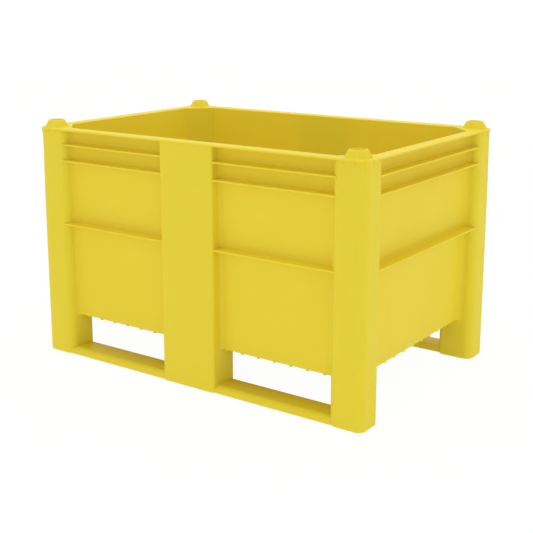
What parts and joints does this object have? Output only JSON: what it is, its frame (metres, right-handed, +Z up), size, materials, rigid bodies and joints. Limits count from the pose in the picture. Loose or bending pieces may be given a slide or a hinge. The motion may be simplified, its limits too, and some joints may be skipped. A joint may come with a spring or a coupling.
{
  "type": "pallet box",
  "caption": "Large solid-wall container moulded in one piece, with corner posts, side feet and runners that leave openings for forks and nubs that locate a second box on top.",
  "frame": {"origin": "middle of the footprint, on the plane of the soles", "axes": "+X along the long side, +Y across it, +Z up out of the open mouth"},
  "size_m": [1.2, 0.8, 0.764],
  "materials": {
    "moulding": "moulded yellow polyethylene with a soft satin sheen"
  },
  "bodies": {
    "root": {"pallet_box": "moulding"}
  },
  "joints": []
}
